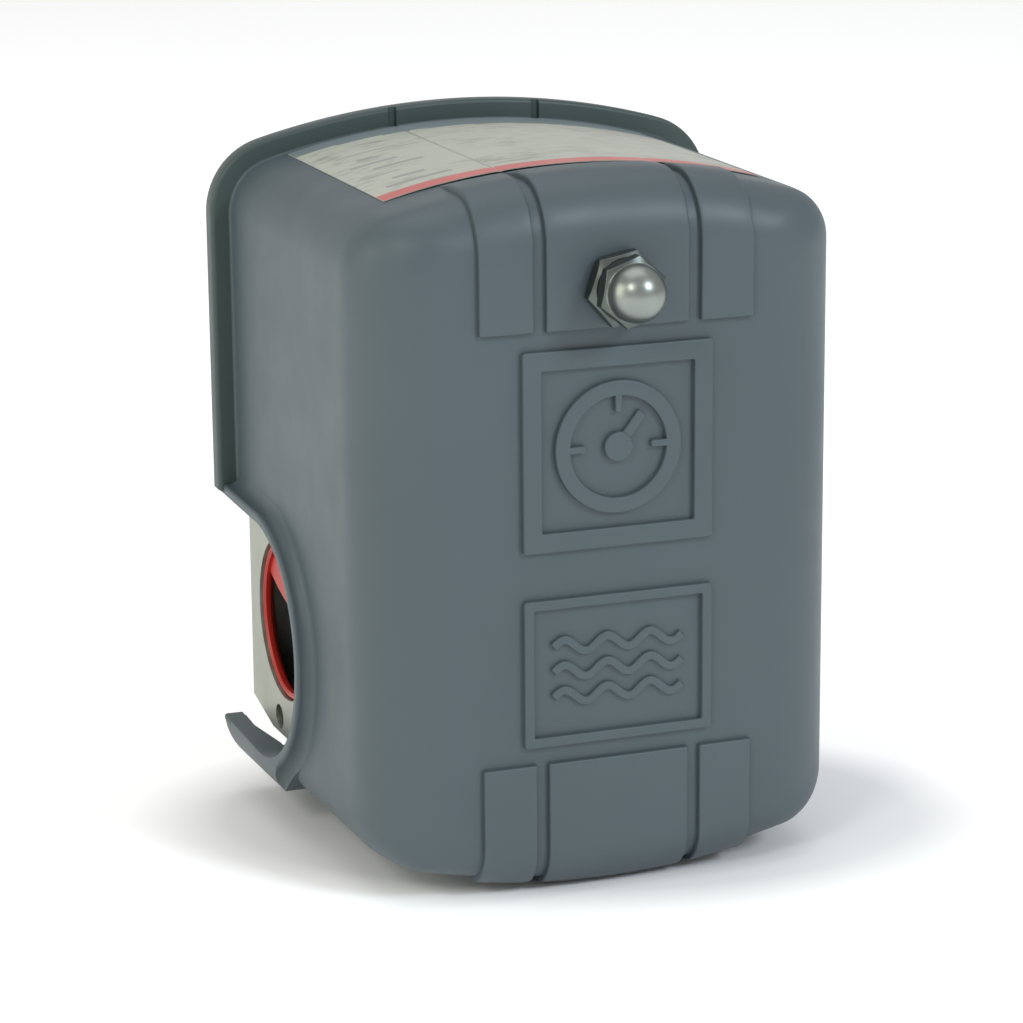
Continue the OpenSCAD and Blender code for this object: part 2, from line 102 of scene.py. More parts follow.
class Nodes:
    """Short helper that adds and links the nodes of one material."""

    def __init__(self, name):
        self.mat = bpy.data.materials.new(name)
        self.mat.use_nodes = True
        self.tree = self.mat.node_tree
        self.shader = self.tree.nodes["Principled BSDF"]
        self.coords = self.tree.nodes.new("ShaderNodeTexCoord")

    def noise(self, scale, detail=3.0, rough=0.5, stretch=None):
        """Noise over the object's own coordinates, stretched if asked."""
        source = self.coords.outputs["Object"]
        if stretch:
            mapping = self.tree.nodes.new("ShaderNodeMapping")
            mapping.inputs["Scale"].default_value = stretch
            self.tree.links.new(source, mapping.inputs["Vector"])
            source = mapping.outputs["Vector"]
        n = self.tree.nodes.new("ShaderNodeTexNoise")
        n.inputs["Scale"].default_value = scale
        n.inputs["Detail"].default_value = detail
        n.inputs["Roughness"].default_value = rough
        self.tree.links.new(source, n.inputs["Vector"])
        return n.outputs["Fac"]

    def ramp(self, fac, stops):
        """Colour ramp from (position, colour) stops."""
        r = self.tree.nodes.new("ShaderNodeValToRGB")
        r.color_ramp.elements[0].position = stops[0][0]
        r.color_ramp.elements[0].color = stops[0][1]
        r.color_ramp.elements[1].position = stops[-1][0]
        r.color_ramp.elements[1].color = stops[-1][1]
        for pos, colour in stops[1:-1]:
            e = r.color_ramp.elements.new(pos)
            e.color = colour
        self.tree.links.new(fac, r.inputs["Fac"])
        return r.outputs["Color"]

    def span(self, fac, low, high, low_in=0.3, high_in=0.7):
        """Value mapped from one range to another."""
        m = self.tree.nodes.new("ShaderNodeMapRange")
        m.inputs["From Min"].default_value = low_in
        m.inputs["From Max"].default_value = high_in
        m.inputs["To Min"].default_value = low
        m.inputs["To Max"].default_value = high
        self.tree.links.new(fac, m.inputs["Value"])
        return m.outputs["Result"]

    def bump(self, fac, strength, distance, previous=None):
        """Bumped normal, on top of a previous one if given."""
        b = self.tree.nodes.new("ShaderNodeBump")
        b.inputs["Strength"].default_value = strength
        b.inputs["Distance"].default_value = distance
        self.tree.links.new(fac, b.inputs["Height"])
        if previous:
            self.tree.links.new(previous, b.inputs["Normal"])
        return b.outputs["Normal"]

    def join(self, operation, a, b):
        """Two values joined by a math node."""
        m = self.tree.nodes.new("ShaderNodeMath")
        m.operation = operation
        self.tree.links.new(a, m.inputs[0])
        self.tree.links.new(b, m.inputs[1])
        return m.outputs[0]

    def reach(self, middle, half, turn=0.0):
        """Distance from a middle, counted in half sizes along axes turned about z."""
        axes = self.tree.nodes.new("ShaderNodeMapping")
        axes.vector_type = "TEXTURE"
        axes.inputs["Location"].default_value = middle
        axes.inputs["Rotation"].default_value = (0.0, 0.0, math.radians(turn))
        axes.inputs["Scale"].default_value = half
        self.tree.links.new(self.coords.outputs["Object"], axes.inputs["Vector"])
        length = self.tree.nodes.new("ShaderNodeVectorMath")
        length.operation = "LENGTH"
        self.tree.links.new(axes.outputs["Vector"], length.inputs[0])
        return length.outputs["Value"]

    def set(self, socket, value):
        """Links or writes an input of the shader."""
        target = self.shader.inputs[socket]
        if isinstance(value, bpy.types.NodeSocket):
            self.tree.links.new(value, target)
        else:
            target.default_value = value


def shade(colour, k):
    """Colour made darker or lighter by a factor."""
    return (min(colour[0] * k, 1), min(colour[1] * k, 1), min(colour[2] * k, 1), 1.0)


def moulded_finish(n, rough, grain):
    """Gloss, fine spark-eroded grain and faint sinks of a moulding."""
    n.set("Roughness", n.span(n.noise(150.0, 3.0), rough[0], rough[1]))
    fine = n.bump(n.noise(5200.0, 2.0, 0.6), grain, 0.00004)
    n.set("Normal", n.bump(n.noise(60.0, 2.0), 0.12, 0.0004, fine))
    n.set("IOR", 1.47)


def moulded(name, colour, rough, grain, spread):
    """Injection-moulded plastic with faint clouding."""
    n = Nodes(name)
    n.set("Base Color", n.ramp(n.noise(28.0, 4.0), [
        (0.3, shade(colour, 1 - spread)), (0.7, shade(colour, 1 + spread))]))
    moulded_finish(n, rough, grain)
    return n.mat


def cover_plastic():
    """The cover's grey, with painted shade on the rear lip above the side openings: a darker, greener grey
    there.
    """
    n = Nodes("cover_plastic")
    # lip: painted shade, a darker greener grey for the rear lip's shadowed faces above the openings
    body, lip = srgb(74, 86, 91), srgb(59, 73, 72)
    lip_y, lip_z = (LIP_Y - 0.3, LIP_Y + 0.1), (42.0, 44.0)
    split = n.tree.nodes.new("ShaderNodeSeparateXYZ")
    n.tree.links.new(n.coords.outputs["Object"], split.inputs[0])
    # mask of the painted shade: behind the lip's front face, and above the side openings
    lip_shade_mask = n.join("MULTIPLY", n.span(split.outputs["Y"], 0.0, 0.6, lip_y[0] * 0.001, lip_y[1] * 0.001),
                    n.span(split.outputs["Z"], 0.0, 1.0, lip_z[0] * 0.001, lip_z[1] * 0.001))
    total = n.join("ADD", lip_shade_mask, n.span(n.noise(28.0, 4.0), 0.0, 0.4))
    n.set("Base Color", n.ramp(total, [(0.0, shade(body, 0.95)), (0.4, shade(body, 1.05)),
                                       (0.6, shade(lip, 0.96)), (1.0, shade(lip, 1.04))]))
    moulded_finish(n, (0.42, 0.5), 0.16)
    return n.mat


def plated(name, colour, rough, brushed=None, spread=0.08, scale=90.0, bump=0.1):
    """Plated or rolled metal with faint patches and, stretched along one axis, fine lines."""
    n = Nodes(name)
    n.set("Metallic", 1.0)
    n.set("Base Color", n.ramp(n.noise(scale, 4.0), [
        (0.3, shade(colour, 1 - spread)), (0.7, shade(colour, 1 + spread))]))
    n.set("Roughness", n.span(n.noise(scale * 3, 4.0), rough[0], rough[1]))
    n.set("Normal", n.bump(n.noise(2600.0, 3.0, 0.6, brushed), bump, 0.00003))
    return n.mat


def nut_plate():
    """Plating that is bright on the dome; from the dome's foot outwards, hexagons included, a darker grey is
    painted shade.
    """
    n = Nodes("nickel_plate")
    bright, painted_shade_grey = srgb(146, 152, 147), srgb(98, 105, 101)
    dome, foot = 0.0036, 0.0039
    radius = n.reach((0.0, 0.0, STUD_Z * 0.001), (1.0, 1000.0, 1.0))
    # darker grey from the dome's foot outwards: painted shade on the hex faces
    total = n.join("ADD", n.span(radius, 0.0, 0.6, dome, foot), n.span(n.noise(300.0, 4.0), 0.0, 0.4))
    n.set("Metallic", 1.0)
    n.set("Base Color", n.ramp(total, [(0.0, shade(bright, 1.05)), (0.4, shade(bright, 0.95)),
                                       (0.6, shade(painted_shade_grey, 1.08)), (1.0, shade(painted_shade_grey, 0.92))]))
    n.set("Roughness", n.span(n.noise(900.0, 4.0), 0.3, 0.38))
    n.set("Normal", n.bump(n.noise(2600.0, 3.0, 0.6), 0.1, 0.00003))
    return n.mat


def label_film():
    """Printed film: pale, blotchy where small print shows as faint grey rows."""
    n = Nodes("label_film")
    rows = n.noise(420.0, 3.0, 0.62, (0.55, 2.2, 1.0))
    blots = n.noise(75.0, 2.0, 0.5)
    mixed = n.join("MULTIPLY", n.span(rows, 0.0, 1.0, 0.5, 0.62), n.span(blots, 0.0, 1.0, 0.42, 0.6))
    n.set("Base Color", n.ramp(mixed, [(0.0, srgb(171, 173, 161)), (1.0, srgb(139, 141, 131))]))
    n.set("Roughness", n.span(n.noise(200.0, 3.0), 0.36, 0.46))
    n.set("Normal", n.bump(n.noise(90.0, 2.0), 0.06, 0.0002))
    return n.mat


M = {
    "cover": cover_plastic(),
    "label": label_film(),
    "label_red": moulded("label_red_print", srgb(186, 92, 88), (0.34, 0.42), 0.05, 0.04),
    "label_blue": moulded("label_blue_print", srgb(112, 124, 128), (0.34, 0.42), 0.05, 0.04),
    # grey print rows, also used for the painted shade along the label's crease
    "label_grey": moulded("label_grey_print_and_crease_shade", srgb(138, 140, 134), (0.34, 0.42), 0.05, 0.06),
    "nickel": nut_plate(),
    "zinc": plated("zinc_plate", srgb(164, 167, 156), (0.38, 0.46), (1, 6, 1), 0.05),
    "steel": plated("spring_wire", srgb(130, 134, 136), (0.28, 0.4), None, 0.1),
    "brass": plated("rolled_brass", srgb(205, 172, 104), (0.24, 0.38), (1, 1, 8), 0.08),
    "cast": plated("die_cast_metal", srgb(170, 172, 168), (0.42, 0.58), None, 0.08, 60.0, 0.35),
    "red": moulded("clamp_red_plastic", srgb(178, 46, 36), (0.3, 0.4), 0.08, 0.05),
    "black": moulded("black_phenolic", srgb(34, 34, 37), (0.3, 0.42), 0.12, 0.12),
    "rubber": moulded("diaphragm_rubber", srgb(28, 28, 28), (0.6, 0.75), 0.2, 0.1),
    "nylon": moulded("natural_nylon", srgb(222, 217, 200), (0.4, 0.5), 0.06, 0.03),
    "green": plated("green_ground_dye", srgb(44, 132, 74), (0.28, 0.4), None, 0.08),
}


# ---------------------------------------------------------------- mesh helpers


def build(name, verts, faces, mats=(), mat_of=()):
    """Mesh object from vertices in millimetres, its faces turned outwards."""
    mesh = bpy.data.meshes.new(name)
    mesh.from_pydata([Vector(v) * 0.001 for v in verts], [], faces)
    for m in mats:
        mesh.materials.append(m)
    for poly, index in zip(mesh.polygons, mat_of):
        poly.material_index = index
    bm = bmesh.new()
    bm.from_mesh(mesh)
    bmesh.ops.recalc_face_normals(bm, faces=bm.faces)
    bm.to_mesh(mesh)
    bm.free()
    obj = bpy.data.objects.new(name, mesh)
    bpy.context.collection.objects.link(obj)
    return obj


def smooth(obj, sharp=None):
    """Smooth shading, with edges over an angle in degrees kept sharp."""
    obj.data.shade_smooth()
    if sharp:
        obj.data.set_sharp_from_angle(angle=math.radians(sharp))


def circle_y(x, z, r, y, n, turn=0.0):
    """Points of a circle about a line along y."""
    return [(x + r * math.cos(2 * math.pi * i / n + turn), y, z + r * math.sin(2 * math.pi * i / n + turn))
            for i in range(n)]


class Shape:
    """Collects vertices and faces of one or more closed surfaces."""

    def __init__(self):
        self.verts, self.faces, self.mats = [], [], []

    def rings(self, rings):
        """Skin over rings of equal point count, closed by a face on each end ring."""
        base, n = len(self.verts), len(rings[0])
        for ring in rings:
            self.verts.extend(ring)
        for i in range(len(rings) - 1):
            self.band(base + i * n, base + (i + 1) * n, n)
        for start in (base, base + (len(rings) - 1) * n):
            self.face(list(range(start, start + n)))

    def loop(self, rings):
        """Closed tube: rings joined, last back to first."""
        base, n = len(self.verts), len(rings[0])
        for ring in rings:
            self.verts.extend(ring)
        for i in range(len(rings)):
            self.band(base + i * n, base + (i + 1) % len(rings) * n, n)

    def band(self, a, b, n):
        """Faces between two rings of n points that start at a and b."""
        for k in range(n):
            k2 = (k + 1) % n
            self.face([a + k, a + k2, b + k2, b + k])

    def face(self, f, mat=0):
        self.faces.append(f)
        self.mats.append(mat)

    def make(self, name, mats, body, sharp=None):
        """Object of this shape, riding on a body of the frame."""
        obj = build(name, self.verts, self.faces, mats, self.mats)
        smooth(obj, sharp)
        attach(obj, body)
        return obj


# ---------------------------------------------------------------- the cover's surface

CORNER_STEPS, ARCH_STEPS, SIDE_STEPS = 14, 64, 150


def inset(radius, depth):
    """How far a rounded edge of this radius pulls in at a depth behind the face."""
    if depth >= radius:
        return 0.0
    return radius - math.sqrt(max(radius * radius - (radius - depth) ** 2, 0))


def arch_half(w, zt, rc, ra):
    """Upper half of an outline, from its right side over the arch to its left side."""
    az, cx = zt - ra, w - rc
    cz = az + math.sqrt((ra - rc) ** 2 - cx * cx)
    a = math.atan2(cz - az, cx)
    pts = [(cx + rc * math.cos(a * i / CORNER_STEPS), cz + rc * math.sin(a * i / CORNER_STEPS))
           for i in range(CORNER_STEPS + 1)]
    for i in range(1, ARCH_STEPS):
        b = a + (math.pi - 2 * a) * i / ARCH_STEPS
        pts.append((ra * math.cos(b), az + ra * math.sin(b)))
    pts += [(-cx - rc * math.cos(a * i / CORNER_STEPS), cz + rc * math.sin(a * i / CORNER_STEPS))
            for i in range(CORNER_STEPS, -1, -1)]
    return pts


def outline(w, zt, zb, rc, ra=ARCH_R):
    """Whole outline, anticlockwise from the foot of the right upper corner."""
    top = arch_half(w, zt, rc, ra)
    low = [(-x, -z) for x, z in arch_half(w, -zb, rc, ra)]

    def side(p, q):
        return [(p[0] + (q[0] - p[0]) * i / SIDE_STEPS, p[1] + (q[1] - p[1]) * i / SIDE_STEPS)
                for i in range(1, SIDE_STEPS)]

    return top + side(top[-1], low[0]) + low + side(low[-1], top[0])


def body_ring(depth, grow=0.0):
    """Outline of the cover's body at a depth behind its face."""
    g = grow + SLOPE * depth
    side = inset(ROLL_SIDE + grow, depth + grow)
    pts = outline(HALF_W + g - side,
                  TOP_Z + g - inset(ROLL_TOP + grow, depth + grow),
                  LOW_Z - grow + inset(ROLL_LOW + grow, depth + grow),
                  max(CORNER_R + grow - 0.4 * side, 2.0))
    return [(x, FACE_Y + depth, z) for x, z in pts]


def lip_ring(pull, y):
    """Outline of the lip, pulled in by an amount, at y."""
    pts = outline(HALF_W + DRAFT + LIP - pull, TOP_Z + DRAFT + LIP - pull,
                  LOW_Z - PAD_H + pull, CORNER_R + LIP - pull, ARCH_R + LIP - pull)
    return [(x, y, z) for x, z in pts]


def scaled_ring(ring, k):
    """Ring shrunk about the middle of the face."""
    zc = (TOP_Z + LOW_Z) / 2
    return [(x * k, y, zc + (z - zc) * k) for x, y, z in ring]


def roll_depths(radius, steps):
    """Depths behind the face at equal turns round a rounded edge."""
    return [radius * (1 - math.cos(math.pi / 2 * i / steps)) for i in range(steps + 1)]


def cover_shell():
    """The hollow cover before its openings: face, wall, lip, step inside the lip, cavity."""
    front = body_ring(0.0)
    rings = [scaled_ring(front, k) for k in (0.12, 0.4, 0.7, 0.9, 0.985)]
    rings += [body_ring(d) for d in roll_depths(ROLL_SIDE, 22)]
    wall_steps = 40
    start, end = ROLL_SIDE, LIP_Y - FACE_Y - 0.5
    for i in range(1, wall_steps + 1):
        rings.append(body_ring(start + (end - start) * i / wall_steps))
    body_end = body_ring(LIP_Y - FACE_Y)
    lip_flat = lip_ring(LIP_EDGE, LIP_Y)
    for f, y in ((0.05, LIP_Y - 0.2), (0.16, LIP_Y - 0.02), (0.4, LIP_Y)):
        rings.append([(a[0] + (b[0] - a[0]) * f, y, a[2] + (b[2] - a[2]) * f)
                      for a, b in zip(body_end, lip_flat)])
    for i in range(7):
        t = math.pi / 2 * i / 6
        rings.append(lip_ring(LIP_EDGE * (1 - math.sin(t)), LIP_Y + LIP_EDGE * (1 - math.cos(t))))
    for i in range(5):
        t = math.pi / 2 * i / 4
        rings.append(lip_ring(EDGE * (1 - math.cos(t)), REAR_Y - EDGE * (1 - math.sin(t))))
    rings += [lip_ring(WALL, REAR_Y), lip_ring(WALL, REAR_Y - RABBET + 0.2),
              lip_ring(WALL + 0.2, REAR_Y - RABBET)]
    inner = [body_ring(d, -WALL) for d in
             [REAR_Y - RABBET - FACE_Y, 50, 40, 30, 20, 14]
             + [WALL + v for v in reversed(roll_depths(ROLL_SIDE - WALL, 8))]]
    rings += inner + [scaled_ring(inner[-1], k) for k in (0.9, 0.5, 0.12)]
    s = Shape()
    s.rings(rings)
    return s


# ---------------------------------------------------------------- raised pads on the cover


def arch_drop(x):
    """How far the arch lies below its crown at x."""
    return ARCH_R - math.sqrt(ARCH_R * ARCH_R - x * x)


def profile(upper, x, steps=16):
    """Path at x on the body's surface, from the front plane over the edge to the label or the lip."""
    drop = arch_drop(x)
    path = []
    end = LABEL_FRONT - 0.35 - FACE_Y
    tail = [end - 5.5 + 5.5 * i / 9 for i in range(10)] if upper else [12, 18, 24, 30, 36, 42, 48, 51.8]
    for d in roll_depths(ROLL_TOP if upper else ROLL_LOW, steps) + tail:
        if upper:
            path.append((FACE_Y + d, TOP_Z + SLOPE * d - inset(ROLL_TOP, d) - drop))
        else:
            path.append((FACE_Y + d, LOW_Z + inset(ROLL_LOW, d) + drop))
    return path


def edge_steps(radius, height, n=5):
    """(distance in from the edge, height) pairs for a wall with a rounded top edge."""
    turns = [math.pi / 2 * i / n for i in range(1, n + 1)]
    return [(0.0, -0.35), (0.0, height - radius)] + [
        (radius * (1 - math.cos(t)), height - radius + radius * math.sin(t)) for t in turns]


def pad(shape, upper, x0, x1, z_edge, height=PAD_H, radius=0.28):
    """One raised pad that wraps from the front face over the edge."""
    rim = edge_steps(radius, height)
    inner = max(int((x1 - x0) / 1.2), 3)
    cols = [(x0 + d, h) for d, h in rim]
    cols += [(x0 + radius + (x1 - x0 - 2 * radius) * i / inner, height) for i in range(1, inner)]
    cols += [(x1 - d, h) for d, h in reversed(rim)]
    rows = [(z_edge + (d if upper else -d), h) for d, h in rim]
    grid = []
    for x, hx in cols:
        line = []
        path = profile(upper, x)
        sign = 1 if upper else -1
        for z, hz in rows:
            line.append((x, FACE_Y - min(hx, hz), z))
        for k in range(1, 5):
            z = z_edge + sign * radius + (path[0][1] - z_edge - sign * radius) * k / 5
            line.append((x, FACE_Y - min(hx, height), z))
        for i, (y, z) in enumerate(path):
            a, b = path[max(i - 1, 0)], path[min(i + 1, len(path) - 1)]
            if i == 0:
                ny, nz = -1.0, 0.0
            else:
                ty, tz = b[0] - a[0], b[1] - a[1]
                size = math.hypot(ty, tz)
                ny, nz = (-tz / size, ty / size) if upper else (tz / size, -ty / size)
            # the upper pads sink away just in front of the label
            fade = min(max((y - LABEL_FRONT + 4.2) / 3.8, 0), 1) if upper else 0
            h = hx * (1 - 0.9 * fade * fade * (3 - 2 * fade)) if hx > 0 else hx
            line.append((x, y + ny * h, z + nz * h))
        grid.append(line)
    n = len(grid[0])
    base = len(shape.verts)
    for line in grid:
        shape.verts.extend(line)
    for i in range(len(grid) - 1):
        for k in range(n - 1):
            a = base + i * n + k
            shape.face([a, a + 1, a + n + 1, a + n])
    # one face closes the pad; where the pad runs round an edge this face crosses the cover's hollow
    under = [base + k for k in range(n)] + [base + i * n + n - 1 for i in range(1, len(grid))]
    under += [base + (len(grid) - 1) * n + k for k in range(n - 2, -1, -1)]
    under += [base + i * n for i in range(len(grid) - 2, 0, -1)]
    shape.face(under)


# ---------------------------------------------------------------- raised frames and pictograms


def rim_levels(height, radius, n=4):
    """(pull, y) pairs up the wall of a raised shape on the front face."""
    top = FACE_Y - height
    turns = [math.pi / 2 * i / n for i in range(1, n + 1)]
    return [(0.0, FACE_Y + 0.3), (0.0, top + radius)] + [
        (radius * (1 - math.cos(t)), top + radius - radius * math.sin(t)) for t in turns]


def rect_loop(cx, cz, hw, hz, r, n=4):
    """Rectangle with rounded corners, from its middle and half sizes."""
    pts = []
    for q, (sx, sz) in enumerate(((1, 1), (-1, 1), (-1, -1), (1, -1))):
        for i in range(n + 1):
            a = math.pi / 2 * (q + i / n)
            pts.append((cx + sx * (hw - r) + r * math.cos(a), cz + sz * (hz - r) + r * math.sin(a)))
    return pts


def disc_loop(cx, cz, r, n=96):
    """Circle on the front face."""
    return [(x, z) for x, _, z in circle_y(cx, cz, r, 0.0, n)]


def emboss(shape, outer, inner=None, height=PAD_H, radius=0.2):
    """Raised plate from outer(pull); inner(pull) is its opening, if it has one."""
    levels = rim_levels(height, radius)
    rings = [[(x, y, z) for x, z in outer(pull)] for pull, y in levels]
    if inner:
        rings += [[(x, y, z) for x, z in inner(pull)] for pull, y in reversed(levels)]
        shape.loop(rings)
    else:
        shape.rings(rings)


def bar(shape, cx, cz, length, width, angle, height=PAD_H, radius=0.18):
    """Raised bar, turned by an angle on the front face."""
    ca, sa = math.cos(angle), math.sin(angle)

    def loop(pull):
        pts = rect_loop(0, 0, length / 2 - pull, width / 2 - pull, max(0.3 - pull, 0.06))
        return [(cx + x * ca - z * sa, cz + x * sa + z * ca) for x, z in pts]

    emboss(shape, loop, None, height, radius)


def wave(shape, cz, half_len=8.8, amp=0.85, half_w=0.55, height=0.55, waves=3):
    """One raised wave line."""
    def loop(pull):
        n, hw = 60, half_w - pull
        mid = []
        for i in range(n + 1):
            x = -half_len + pull + (2 * half_len - 2 * pull) * i / n
            phase = waves * 2 * math.pi * (x + half_len) / (2 * half_len)
            slope = amp * math.cos(phase) * waves * math.pi / half_len
            k = math.hypot(1, slope)
            mid.append((x, cz + amp * math.sin(phase), -slope / k, 1 / k))
        return ([(x + nx * hw, z + nz * hw) for x, z, nx, nz in reversed(mid)]
                + [(x - nx * hw, z - nz * hw) for x, z, nx, nz in mid])

    emboss(shape, loop, None, height, 0.16)


# ---------------------------------------------------------------- cutting


def joined(name, rings):
    """Closed tool: a wall between rings of equal point count and a face on both ends."""
    n, last = len(rings[0]), len(rings) - 1
    faces = [[i * n + k, i * n + (k + 1) % n, (i + 1) * n + (k + 1) % n, (i + 1) * n + k]
             for i in range(last) for k in range(n)]
    faces += [list(range(n)), list(range(last * n, last * n + n))]
    return build(name, [v for ring in rings for v in ring], faces)


def cut(obj, tool, how="DIFFERENCE"):
    """Applies an exact boolean at once and drops the tool."""
    mod = obj.modifiers.new("cut", "BOOLEAN")
    mod.operation, mod.solver, mod.object = how, "EXACT", tool
    with bpy.context.temp_override(object=obj, active_object=obj, selected_objects=[obj]):
        bpy.ops.object.modifier_apply(modifier=mod.name)
    bpy.data.objects.remove(tool)


def opening_loop(g):
    """Side opening in y and z, grown by g: a round front, open to the rear."""
    r, run = CUT_R + g, REAR_Y + 5 - CUT_Y
    turns = [math.pi / 2 + math.pi * i / 80 for i in range(81)]
    pts = [(CUT_Y + r * math.cos(a), CUT_Z + r * math.sin(a)) for a in turns]
    for i in range(1, 7):
        t = i / 6
        pts.append((CUT_Y + run * t, CUT_Z - CUT_R - g + (CUT_REAR[0] - CUT_Z + CUT_R) * t))
    for i in range(6):
        t = 1 - i / 6
        pts.append((CUT_Y + run * t, CUT_Z + CUT_R + g + (CUT_REAR[1] - CUT_Z - CUT_R) * t))
    return pts


def side_x(y):
    """Distance of the side wall's surface from the middle, at y."""
    return HALF_W + SLOPE * (y - FACE_Y)


def side_loft(name, side, levels, loop_of):
    """Closed tool on one side, from (height over the wall, growth of the loop) pairs going outwards."""
    return joined(name, [[(side * (side_x(y) + height), y, z) for y, z in loop_of(g)]
                         for height, g in levels])


QUARTER = [math.radians(a) for a in (15, 30, 45, 60, 75, 90)]
# the opening, straight through the wall and flaring out at the border's rounded edge
FLARE = [(-20.0, 0.0), (RIM_OUT - EDGE, 0.0)]
FLARE += [(RIM_OUT - EDGE + EDGE * math.sin(a), EDGE * (1 - math.cos(a))) for a in QUARTER]
FLARE += [(RIM_OUT + 3, EDGE + 1.2)]
THIN_Y = (CUT_Y + 2, CUT_Y + 10)        # where the wall below the opening starts and stops getting thinner
THIN_LEFT = 0.45                        # what is left of the wall behind that
SINK = 0.35                             # how deep the border's skin reaches into the wall
BORDER_LOW = 5.0                        # lower end of the border


def cut_openings(obj, spare=0.0):
    """Both side openings; below them the wall gets thinner from inside towards the rear."""
    for side in (-1, 1):
        cut(obj, side_loft("opening_tool", side, [(h, g + spare) for h, g in FLARE], opening_loop))
        front, rear = side_x(THIN_Y[0]) - WALL - 0.3, side_x(THIN_Y[1]) - THIN_LEFT
        plan = [(front - 8, THIN_Y[0]), (front, THIN_Y[0]), (rear, THIN_Y[1]), (rear, REAR_Y + 5),
                (front - 8, REAR_Y + 5)]
        cut(obj, joined("thin_tool", [[(side * x, y, z) for x, y in plan]
                                      for z in (CUT_REAR[0] - 5.5, CUT_REAR[0] + 9)]))


def border_loop(g):
    """Outline of the raised border: round in front, then steeply down to its lower end."""
    r, low = CUT_R + g, math.radians(240)
    turns = [math.pi / 2 + (low - math.pi / 2) * i / 72 for i in range(73)]
    pts = [(CUT_Y + r * math.cos(a), CUT_Z + r * math.sin(a)) for a in turns]
    y, z = pts[-1]
    for i in range(1, 9):
        slant = math.radians(30 + 3 * i)
        y, z = y + 1.25 * math.cos(slant), z - 1.25 * math.sin(slant)
        pts.append((y, z))
    pts = [(y, max(z, BORDER_LOW + 0.3)) for y, z in pts]
    rear = REAR_Y - 0.1
    return pts + [(y + 1.0, BORDER_LOW), (rear, BORDER_LOW), (rear, CUT_Z), (rear, CUT_REAR[1] + g - 0.3)]


def border():
    """Raised border of both side openings: a skin round the body, kept only near the openings."""
    depths = [14 + 1.5 * i for i in range(27)] + [REAR_Y - FACE_Y + 0.6]
    skin = Shape()
    skin.rings([body_ring(d, RIM_OUT) for d in depths])
    core = Shape()
    core.rings([body_ring(d, -SINK) for d in [10] + depths + [60]])
    levels = [(-12.0, RIM_W + RIM_FILLET), (0.0, RIM_W + RIM_FILLET)]
    levels += [(RIM_FILLET * (1 - math.cos(a)), RIM_W + RIM_FILLET * (1 - math.sin(a))) for a in QUARTER]
    levels += [(RIM_OUT - EDGE + EDGE * math.sin(a), RIM_W - EDGE * (1 - math.cos(a)))
               for a in [0] + QUARTER]
    levels += [(RIM_OUT + 2, RIM_W - EDGE - 0.6)]
    obj = skin.make("cover_opening_border", [M["cover"]], "cover_shell")
    both = side_loft("zone", 1, levels, border_loop)
    left = side_loft("zone_left", -1, levels, border_loop)
    with bpy.context.temp_override(object=both, active_object=both, selected_objects=[both, left],
                                   selected_editable_objects=[both, left]):
        bpy.ops.object.join()
    cut(obj, both, "INTERSECT")
    cut(obj, build("core", core.verts, core.faces))
    cut_openings(obj)
    return obj


cover = cover_shell().make("cover_moulding", [M["cover"]], "cover_shell")
cut_openings(cover, 0.03)
NOTCH_X, NOTCH_W = 10.4, 1.2
notch_z = TOP_Z + DRAFT - 0.3
for side in (-1, 1):
    loop = [(LIP_Y - 0.3, notch_z), (LIP_Y + EDGE, notch_z), (LIP_Y + EDGE, 110), (LIP_Y - 0.3, 110)]
    cut(cover, joined("notch_tool", [[(x, y, z) for y, z in loop]
                                     for x in (side * NOTCH_X - NOTCH_W / 2, side * NOTCH_X + NOTCH_W / 2)]))
cut(cover, joined("hole_tool", [circle_y(STUD_X, STUD_Z, STUD_R + 0.5, y, 48)
                                for y in (FACE_Y - 4, FACE_Y + 6)]))
for piece in (cover, border()):
    smooth(piece, 32)
    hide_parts("cover")

PAD_X = ((-18.35, -11.2), (-9.55, 9.55), (11.2, 18.35))
TOP_PAD_Z, LOW_PAD_Z = 73.5, 17.9
FRAME_HALF, FRAME_Z, FRAME_W = 12.8, 58.3, 2.5
LOW_FRAME, LOW_FRAME_W = (20.15, 39.4), 1.3
DIAL_R, DIAL_W, TICK_R, HUB_R = 8.5, 2.0, 5.6, 1.9
NEEDLE = 0.9                            # angle of the needle

relief = Shape()
for x0, x1 in PAD_X:
    pad(relief, True, x0, x1, TOP_PAD_Z)
    pad(relief, False, x0, x1, LOW_PAD_Z)
emboss(relief, lambda p: rect_loop(0, FRAME_Z, FRAME_HALF - p, FRAME_HALF - p, 0.35),
       lambda p: rect_loop(0, FRAME_Z, FRAME_HALF - FRAME_W + p, FRAME_HALF - FRAME_W + p, 0.2))
low_mid, low_half = sum(LOW_FRAME) / 2, (LOW_FRAME[1] - LOW_FRAME[0]) / 2
emboss(relief, lambda p: rect_loop(0, low_mid, FRAME_HALF - p, low_half - p, 0.35),
       lambda p: rect_loop(0, low_mid, FRAME_HALF - LOW_FRAME_W + p, low_half - LOW_FRAME_W + p, 0.2))
emboss(relief, lambda p: disc_loop(0, FRAME_Z, DIAL_R - p),
       lambda p: disc_loop(0, FRAME_Z, DIAL_R - DIAL_W + p))
for turn in (0, 90, 180):
    t = math.radians(turn)
    bar(relief, TICK_R * math.cos(t), FRAME_Z + TICK_R * math.sin(t), 2.4, 0.9, t)
emboss(relief, lambda p: disc_loop(0, FRAME_Z, HUB_R - p, 48))
bar(relief, 2.1 * math.cos(NEEDLE), FRAME_Z + 2.1 * math.sin(NEEDLE), 6.4, 1.3, NEEDLE, 0.66)
for dz in (-3.3, 0.0, 3.3):
    wave(relief, low_mid + dz)
relief_obj = relief.make("cover_relief", [M["cover"]], "cover_shell", 32)
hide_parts("cover")


# ---------------------------------------------------------------- label

LABEL_CREASE = 10.1


